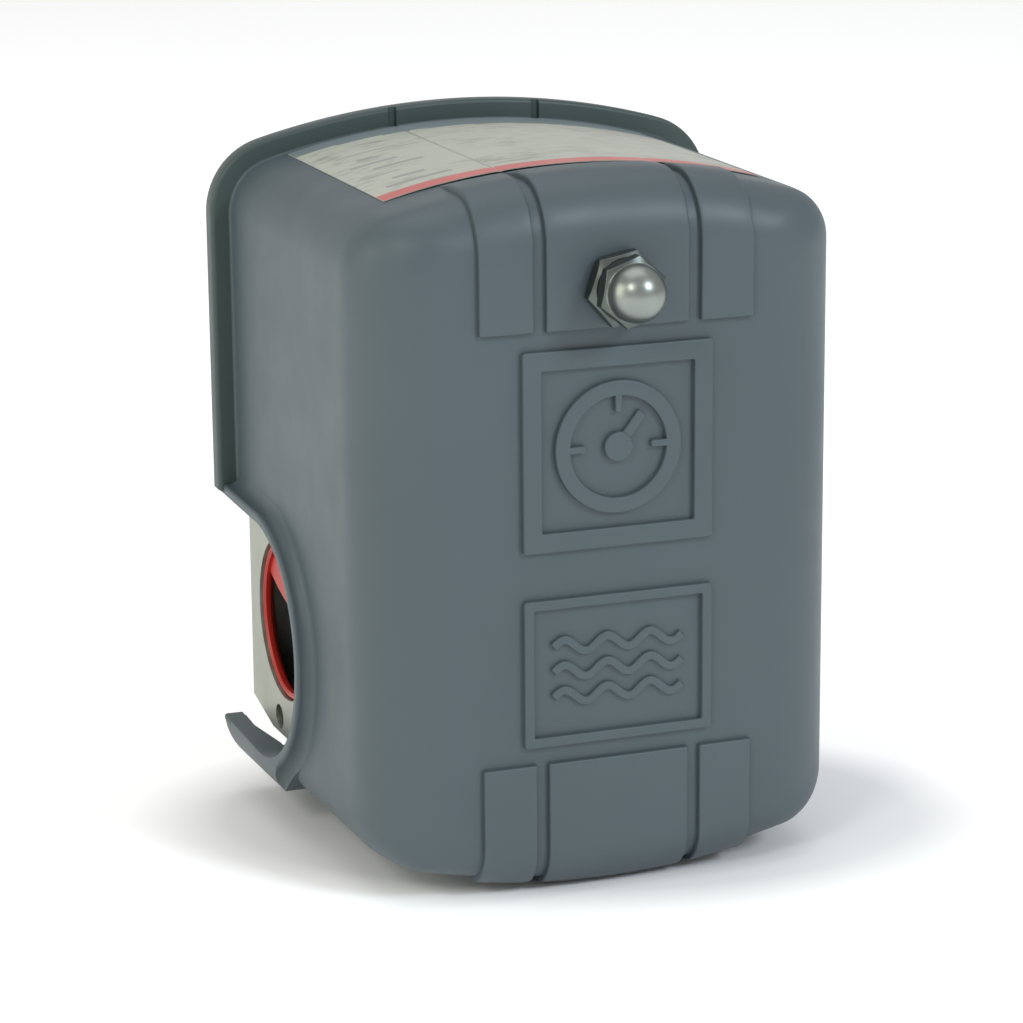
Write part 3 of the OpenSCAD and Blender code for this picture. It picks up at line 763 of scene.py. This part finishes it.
def label_height(x):
    """Height over the body at x: a low swell, a crease near the left gap, a dip near the right one."""
    h = 0.26 * (1 - (x / 26.5) ** 2) ** 0.5
    crease = (x + LABEL_CREASE) / 0.5
    if abs(crease) < 1:
        h -= 0.1 * (1 - crease * crease) ** 2
    groove = (x - 10.4) / 0.9
    if abs(groove) < 1:
        h -= 0.05 * (1 - groove * groove) ** 2
    return h


def label():
    """Thin film that follows the crown, its top side printed face by face."""
    lo, hi = mm_box("rating_label")
    s = Shape()
    n, m = 129, 81
    xs = [lo[0] + (hi[0] - lo[0]) * i / (n - 1) for i in range(n)]
    y_front, y_rear = lo[1], hi[1] + 0.3
    ys = [y_front + (y_rear - y_front) * i / (m - 1) for i in range(m)]
    for lift in (0.08, -0.02):
        for y in ys:
            crown = TOP_Z + SLOPE * (y - FACE_Y)
            s.verts.extend((x, y, crown - arch_drop(x) + (label_height(x) + lift)) for x in xs)
    b = m * n
    for j in range(m - 1):
        for i in range(n - 1):
            x, y = (xs[i] + xs[i + 1]) / 2, (ys[j] + ys[j + 1]) / 2
            q, up = j * n + i, (j + 1) * n + i
            s.face([q, q + 1, up + 1, up], print_of(x, y, lo, hi))
            s.face([b + q, b + up, b + up + 1, b + q + 1])
    for i in range(n - 1):
        s.face([i, b + i, b + i + 1, i + 1])
        q = (m - 1) * n + i
        s.face([q, q + 1, b + q + 1, b + q])
    for j in range(m - 1):
        q, up = j * n, (j + 1) * n
        s.face([q, up, b + up, b + q])
        s.face([q + n - 1, b + q + n - 1, b + up + n - 1, up + n - 1])
    return s


def print_of(x, y, lo, hi):
    """Which ink covers a spot of the label: 0 film, 1 red, 2 blue grey, 3 grey; the grey along the crease is
    painted shade, not ink.
    """
    if y < lo[1] + 2.9:
        return 1
    slant = 3.0 + 4.0 * (x - lo[0]) / (hi[0] - lo[0])
    if y > hi[1] - slant:
        return 2
    # painted shade: a grey line along the crease where the film dips into the gap
    if abs(x + LABEL_CREASE) < 0.25:
        return 3
    for row in range(7):
        yb = lo[1] + 5.6 + row * 3.6
        if yb < y < yb + 0.8 and lo[0] + 2.5 + 1.8 * (row % 2) < x < lo[0] + 11 - 2.2 * (row % 3):
            return 3
    return 0


label_obj = label().make("rating_label_film", [M["label"], M["label_red"], M["label_blue"], M["label_grey"]],
                         "cover_shell", 40)
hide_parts("rating_label")


# ---------------------------------------------------------------- nuts


def hex_radius(af, angle):
    """Distance from the middle to the side of a hexagon, a corner lying at angle 0."""
    a = (angle % (math.pi / 3)) - math.pi / 6
    return af / 2 / math.cos(a)


def nut_rings(x, z, y0, y1, af, bore, turn=0.0, n=144, chamfer=0.94, slope=0.5):
    """Rings of a hex nut from its bore at y0 over both chamfers back to its bore at y1."""
    flat = af / 2 * chamfer
    turns = [2 * math.pi * i / n for i in range(n)]

    def side(y, way, lift, pull):
        reach = [(a, hex_radius(af, a)) for a in turns]
        return [(x + (r - pull) * math.cos(a + turn), y + way * (lift + (r - flat) * slope),
                 z + (r - pull) * math.sin(a + turn)) for a, r in reach]

    return [circle_y(x, z, bore, y0, n, turn), circle_y(x, z, flat, y0, n, turn),
            side(y0, 1, 0.02, 0.05), side(y0, 1, 0.12, 0.0),
            side(y1, -1, 0.12, 0.0), side(y1, -1, 0.02, 0.05),
            circle_y(x, z, flat, y1, n, turn), circle_y(x, z, bore, y1, n, turn)]


JAM_LO, JAM_HI = mm_box("jam_nut")
ACORN_LO, ACORN_HI = mm_box("acorn_nut")
JAM_AF = JAM_HI[2] - JAM_LO[2]
ACORN_AF = ACORN_HI[2] - ACORN_LO[2]
jam = Shape()
jam.loop(nut_rings(0, STUD_Z, JAM_LO[1], JAM_HI[1], JAM_AF, STUD_R + THREAD_GAP, math.radians(11),
                   chamfer=0.93, slope=0.58))
jam_obj = jam.make("jam_nut_plated", [M["nickel"]], "jam", 24)
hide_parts("jam_nut")

HEX_T, DOME_R, ACORN_TURN = 2.4, 3.65, math.radians(20)
hex_front = ACORN_HI[1] - HEX_T
hexagon = nut_rings(0, STUD_Z, hex_front, ACORN_HI[1], ACORN_AF, DOME_R, ACORN_TURN, chamfer=0.95)
dome_mid = ACORN_LO[1] + DOME_R
# (radius, y) over the dome to the hexagon, then from its rear into the blind bore
slopes = [math.radians(88 - 4 * k) for k in range(23)]
dome = [(DOME_R * math.cos(t), dome_mid - DOME_R * math.sin(t)) for t in slopes]
dome += [(DOME_R + 0.03, hex_front - 0.05), (DOME_R + 0.08, hex_front)]
blind = ACORN_LO[1] + 2.5
inside = [(STUD_R + THREAD_GAP, ACORN_HI[1]), (STUD_R + THREAD_GAP, blind), (0.2, blind - 0.1)]
dome, inside = [[circle_y(0, STUD_Z, r, y, len(hexagon[0]), ACORN_TURN) for r, y in part]
                for part in (dome, inside)]
acorn = Shape()
acorn.rings(dome + hexagon[1:-1] + inside)
acorn_obj = acorn.make("acorn_nut_plated", [M["nickel"]], "acorn", 24)
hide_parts("acorn_nut")


# ---------------------------------------------------------------- cable clamps


def clamp(side):
    """Ring in the knock-out with a flange inside the ear and a tongue across its bore."""
    name = "cable_clamp_right" if side > 0 else "cable_clamp_left"
    lo, hi = mm_box(name)
    out = max(abs(lo[0]), abs(hi[0]))
    y, z = (lo[1] + hi[1]) / 2, (lo[2] + hi[2]) / 2
    bore, sleeve, flange = 10.2, 10.95, (hi[2] - lo[2]) / 2
    inner, back = out - 1.4, out - 1.9
    # (radius, distance from the middle) round the section
    section = [(bore + 0.25, out), (sleeve - 0.2, out), (sleeve, out - 0.2), (sleeve, inner),
               (flange - 0.2, inner), (flange, inner - 0.2), (flange - 0.2, back), (bore + 1.9, back),
               (bore + 0.1, out - 1.0), (bore, out - 0.85), (bore, out - 0.25)]
    s = Shape()
    turns = [2 * math.pi * i / 96 for i in range(96)]
    s.loop([[(side * x, y + r * math.cos(a), z + r * math.sin(a)) for r, x in section] for a in turns])
    # the tongue: a leaf from the rear of the ring down across the bore, bent inwards towards its tip
    run, fall, bend = 8.2, 5.2, 1.1
    size = math.hypot(run, fall)
    ny, nz = fall / size, -run / size
    leaf = ((-1.6, 0), (1.5, 0), (1.6, 0.1), (1.6, 0.8), (1.5, 0.9), (-1.6, 0.9), (-1.7, 0.8), (-1.7, 0.1))
    path = [(9.6 - run * t, 6.6 - fall * t, out - 0.6 - bend * t * t) for t in [i / 16 for i in range(17)]]
    s.rings([[(side * (x - a), y + py + ny * w, z + pz + nz * w) for w, a in leaf] for py, pz, x in path])
    obj = s.make(name + "_moulding", [M["red"]], "base", 35)
    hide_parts(name)


clamp(1)
clamp(-1)


# ---------------------------------------------------------------- springs, studs, screws and nuts


def across(node):
    """Middle in x and z, ends in y and outer radius of a round piece that lies along y."""
    lo, hi = mm_box(node)
    return (lo[0] + hi[0]) / 2, (lo[2] + hi[2]) / 2, lo[1], hi[1], (hi[2] - lo[2]) / 2


def lathe_y(shape, x, z, section):
    """Solid of revolution about a line along y; section is (radius, y) from axis to axis."""
    shape.rings([circle_y(x, z, r, y, 48) for r, y in section])


def threaded_rod(x, z, y0, y1, r, pitch, depth, plain):
    """Rod with a helical thread; the last millimetres at y1 are plain."""
    sides, per, lead = 32, 8, 0.3
    step, tip = pitch / per, r - 0.45
    rings = [circle_y(x, z, tip, y0, sides)]
    for i in range(int((y1 - y0 - lead) / step)):
        y = y0 + lead + i * step
        ring = []
        for k in range(sides):
            a, phase = 2 * math.pi * k / sides, (i / per - k / sides) % 1.0
            rise = min(max(abs(2 * phase - 1) * 1.5 - 0.25, 0), 1)
            rr = r - depth * (0.4 if y > y1 - plain else 1 - rise)
            ring.append((x + rr * math.cos(a), y, z + rr * math.sin(a)))
        rings.append(ring)
    s = Shape()
    s.rings(rings + [circle_y(x, z, tip, y1, sides)])
    return s


def coil(shape, x, z, y0, y1, r, wire, turns):
    """Round-wire compression spring; the end coils lie flat."""
    steps, sides, dead = 40, 12, 0.75
    total, lead = turns * steps, dead * steps
    run, close = y1 - y0 - 2 * wire, 2.02 * wire * dead
    round_wire = [2 * math.pi * k / sides for k in range(sides)]
    rings = []
    for i in range(total + 1):
        if i < lead:
            y = close * i / lead
        elif i > total - lead:
            y = run - close * (total - i) / lead
        else:
            t = (i - lead) / (total - 2 * lead)
            y = close + (run - 2 * close) * t
        a = 2 * math.pi * i / steps
        rings.append([(x + (r + wire * math.cos(b)) * math.cos(a), y0 + wire + y + wire * math.sin(b),
                       z + (r + wire * math.cos(b)) * math.sin(a)) for b in round_wire])
    shape.rings(rings)


def slotted_screw(shape, x, z, under, head_r, head_h, shank_r, length, out):
    """Pan-head screw; its head stands towards out. The slot is cut later."""
    top = under + out * head_h
    dome = [(head_r, under + out * 0.05), (head_r, under + out * head_h * 0.45)]
    dome += [(head_r * math.cos(t), under + out * (head_h * 0.45 + head_h * 0.55 * math.sin(t)))
             for t in [math.radians(10 * i) for i in range(1, 9)]]
    end = under - out * length
    shank = [(shank_r, under), (shank_r, end + out * 0.4), (shank_r - 0.4, end), (0.01, end)]
    lathe_y(shape, x, z, [(0.01, top)] + dome[::-1] + [(head_r - 0.15, under)] + shank)


def slot_tools(places, width):
    """Boxes that cut the slots: (x, z, head radius, top y, depth, out, angle)."""
    verts, faces = [], []
    for x, z, r, top, depth, out, angle in places:
        ca, sa = math.cos(angle), math.sin(angle)
        base, u, w = len(verts), r + 0.5, width / 2
        for y in (top - out * depth, top + out):
            verts += [(x + a * ca - b * sa, y, z + a * sa + b * ca)
                      for a, b in ((-u, -w), (u, -w), (u, w), (-u, w))]
        faces += [[base, base + 1, base + 2, base + 3], [base + 4, base + 5, base + 6, base + 7]]
        faces += [[base + k, base + (k + 1) % 4, base + 4 + (k + 1) % 4, base + 4 + k] for k in range(4)]
    return build("slots", verts, faces)


def screw_group(node, look, body, places, head_r, head_h, shank_r, length, out=-1):
    """Screws of one node at (x, z, y under the head), each turned its own way."""
    s = Shape()
    for x, z, under in places:
        slotted_screw(s, x, z, under, head_r, head_h, shank_r, length, out)
    obj = s.make(node + "_slotted", [M[look]], body)
    cut(obj, slot_tools([(x, z, head_r, under + out * head_h, head_h * 0.62, out, dice.uniform(-1.4, 1.4))
                         for x, z, under in places], head_r * 0.28))
    smooth(obj, 34)
    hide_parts(node)


def hex_nut(node, body, x, z, thread_r):
    """Hex nut of the node's own size about a stud."""
    lo, hi = mm_box(node)
    s = Shape()
    s.loop(nut_rings(x, z, lo[1], hi[1], hi[2] - lo[2], thread_r + 0.05, chamfer=0.95, slope=0.55))
    obj = s.make(node + "_hex", [M["zinc"]], body, 24)
    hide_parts(node)


dice = random.Random(11)

x, z, y0, y1, r = across("range_stud")
stud = threaded_rod(x, z, y0, y1, r, 0.79, 0.32, 6.0).make("range_stud_threaded", [M["zinc"]], "base", 50)
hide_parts("range_stud")
DIFF_X, DIFF_Z, y0, y1, DIFF_R = across("differential_stud")
stud = threaded_rod(DIFF_X, DIFF_Z, y0, y1, DIFF_R, 0.7, 0.28, 4.0).make(
    "differential_stud_threaded", [M["zinc"]], "base", 50)
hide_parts("differential_stud")

for node, x, z, radius, wire in (("range_spring", STUD_X, STUD_Z, 6.0, 0.9),
                                 ("differential_spring", DIFF_X, DIFF_Z, 3.5, 0.55)):
    lo, hi = mm_box(node)
    s = Shape()
    coil(s, x, z, lo[1], hi[1], radius, wire, 7)
    obj = s.make(node + "_wire", [M["steel"]], "base")
    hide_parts(node)

hex_nut("range_nut", "range_adjuster", STUD_X, STUD_Z, STUD_R)
hex_nut("differential_nut", "differential_adjuster", DIFF_X, DIFF_Z, DIFF_R)

lo, hi = mm_box("terminal_screws")
screw_group("terminal_screws", "nickel", "base",
            [(x, (lo[2] + hi[2]) / 2, lo[1] + 2.0) for x in (-15, -5, 5, 15)], 3.1, 2.0, 1.7, 9.0)
lo, hi = mm_box("block_screws")
screw_group("block_screws", "zinc", "base", [(x, (lo[2] + hi[2]) / 2, lo[1] + 1.6) for x in (-19, 19)],
            2.2, 1.6, 1.55, hi[1] - lo[1] - 1.6)
lo, hi = mm_box("contact_guides")
GUIDE_Z, GUIDE_HEAD = (lo[2] + hi[2]) / 2, lo[1] + 1.6
screw_group("contact_guides", "zinc", "base", [(x, GUIDE_Z, GUIDE_HEAD) for x in (-10, 10)],
            3.0, 1.6, 1.5, hi[1] - lo[1] - 1.6)
lo, hi = mm_box("ground_screws")
screw_group("ground_screws", "green", "base", [(x, (lo[2] + hi[2]) / 2, lo[1] + 2.2) for x in (-25, 25)],
            3.4, 2.2, 1.75, 4.0)
lo, hi = mm_box("flange_screws")
fx, fz = (hi[0] - lo[0]) / 2 - 3.6, (hi[2] + lo[2]) / 2
screw_group("flange_screws", "zinc", "base",
            [(sx * fx, fz + sz * fx, hi[1] - 2.4) for sx in (-1, 1) for sz in (-1, 1)],
            3.6, 2.4, 1.95, hi[1] - lo[1] - 2.4, 1)
lo, hi = mm_box("contact_springs")
s = Shape()
for x in (-10, 10):
    coil(s, x, GUIDE_Z, lo[1], hi[1], 2.2, 0.35, 6)
obj = s.make("contact_springs_wire", [M["steel"]], "base")
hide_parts("contact_springs")


# ---------------------------------------------------------------- pieces kept from the frame

# material and width of the bevelled edges
LOOKS = {
    "base_bracket": ("zinc", 0.25), "pressure_flange": ("cast", 0.4), "diaphragm": ("rubber", 0.2),
    "piston": ("nylon", 0.3), "operating_lever": ("zinc", 0.2), "pivot_pin": ("steel", 0.2),
    "range_spring_seat": ("zinc", 0.15), "differential_washer": ("zinc", 0.15),
    "terminal_block": ("black", 0.3), "terminal_plates": ("brass", 0.12), "fixed_contacts": ("brass", 0.1),
    "contact_bar": ("black", 0.3), "moving_contacts": ("brass", 0.12),
}
FANS = ("pressure_flange", "base_bracket")      # flat sides split into fans, joined again before the bevel
for node, (look, width) in LOOKS.items():
    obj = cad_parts[node]
    for slot in obj.material_slots:
        slot.material = M[look]
    weld = obj.modifiers.new("weld", "WELD")
    weld.merge_threshold = 1e-6
    if node in FANS:
        flat = obj.modifiers.new("flat", "DECIMATE")
        flat.decimate_type, flat.angle_limit = "DISSOLVE", math.radians(0.5)
    bevel = obj.modifiers.new("edge", "BEVEL")
    bevel.width, bevel.segments = width * 0.001, 3
    bevel.limit_method, bevel.angle_limit = "ANGLE", math.radians(35)
    bevel.harden_normals = True


# ---------------------------------------------------------------- floor, light and camera


# start, flat length and radius of the bend, in metres
FLOOR_NEAR, FLOOR_FLAT, FLOOR_BEND = -2.0, 4.6, 1.4
FLOOR_ACROSS = (-4.0, -1.0, 0.0, 1.0, 4.0)


def floor():
    """Pale sweep: flat under the object and curving up far behind it."""
    bend_y = FLOOR_NEAR + FLOOR_FLAT
    rows = [(FLOOR_NEAR + FLOOR_FLAT * i / 24, 0.0) for i in range(24)]
    for i in range(17):
        a = i / 16 * math.pi / 2
        rows.append((bend_y + FLOOR_BEND * math.sin(a), FLOOR_BEND * (1 - math.cos(a))))
    faces = [[q, q + 1, q + 6, q + 5] for q in [i * 5 + k for i in range(40) for k in range(4)]]
    mesh = bpy.data.meshes.new("floor")
    mesh.from_pydata([(x, y, z) for y, z in rows for x in FLOOR_ACROSS], [], faces)
    obj = bpy.data.objects.new("floor", mesh)
    bpy.context.collection.objects.link(obj)
    mesh.shade_smooth()
    n = Nodes("floor_paper")
    n.set("Base Color", n.ramp(n.noise(3.0), [(0.3, (0.93, 0.93, 0.93, 1)), (0.7, (0.95, 0.95, 0.95, 1))]))
    n.set("Roughness", 0.9)
    n.set("Specular IOR Level", 0.1)
    n.set("Emission Color", (1.0, 1.0, 1.0, 1.0))
    # the paper glows a little outside an oval under the object, so that only the near shadow stays; the
    # oval, where it does not glow, is a painted shadow
    painted_shadow_oval = n.reach((0.005, -0.002, 0.0), (0.056, 0.036, 1.0), -24)
    n.set("Emission Strength", n.span(painted_shadow_oval, 0.0, 0.27, 0.84, 1.08))
    mesh.materials.append(n.mat)


floor()


TARGET = Vector((0.0, 0.0, 0.05))


def area_light(name, place, size, power, colour=(1, 1, 1)):
    """Soft light aimed at the middle of the object."""
    data = bpy.data.lights.new(name, "AREA")
    data.shape, data.size, data.size_y = "RECTANGLE", size[0], size[1]
    data.energy, data.color = power, colour
    obj = bpy.data.objects.new(name, data)
    bpy.context.collection.objects.link(obj)
    obj.location = place
    obj.rotation_mode = "QUATERNION"
    obj.rotation_quaternion = (TARGET - Vector(place)).to_track_quat("-Z", "Y")


area_light("key_left", (-0.85, -0.75, 0.85), (0.32, 0.32), 3.4, (1.0, 0.98, 0.92))
area_light("fill_right", (0.6, -1.0, 0.85), (0.3, 0.3), 6.6, (0.9, 0.99, 1.1))
area_light("side_left", (-1.5, 0.1, 0.5), (0.9, 0.9), 5.3, (1.03, 1.03, 0.86))
area_light("top_soft", (0.0, 0.25, 1.3), (1.2, 1.0), 3.5)

world = bpy.data.worlds.new("studio")
bpy.context.scene.world = world
world.use_nodes = True
sky = world.node_tree.nodes["Background"]
sky.inputs["Color"].default_value = (1.0, 1.0, 1.0, 1)
sky.inputs["Strength"].default_value = 0.54

LENS = 120.05
CAM_AT = (-0.15971, -0.41530, 0.15359)
YAW, PITCH, ROLL = math.radians(20.77), math.radians(14.01), math.radians(0.51)


def camera():
    """Camera fitted to the photo: turned right by YAW, looking down by PITCH, tilted by ROLL."""
    data = bpy.data.cameras.new("camera")
    obj = bpy.data.objects.new("camera", data)
    bpy.context.collection.objects.link(obj)
    data.sensor_width = 36.0
    data.lens = LENS
    data.clip_start, data.clip_end = 0.05, 20.0
    ahead = Vector((math.sin(YAW) * math.cos(PITCH), math.cos(YAW) * math.cos(PITCH), -math.sin(PITCH)))
    level = Vector((math.cos(YAW), -math.sin(YAW), 0))
    down = ahead.cross(level)
    right = level * math.cos(ROLL) + down * math.sin(ROLL)
    up = level * math.sin(ROLL) - down * math.cos(ROLL)
    turn = Matrix((right, up, -ahead)).transposed()
    obj.matrix_world = Matrix.Translation(CAM_AT) @ turn.to_4x4()
    bpy.context.scene.camera = obj


camera()
bpy.context.scene.view_settings.view_transform = "Standard"
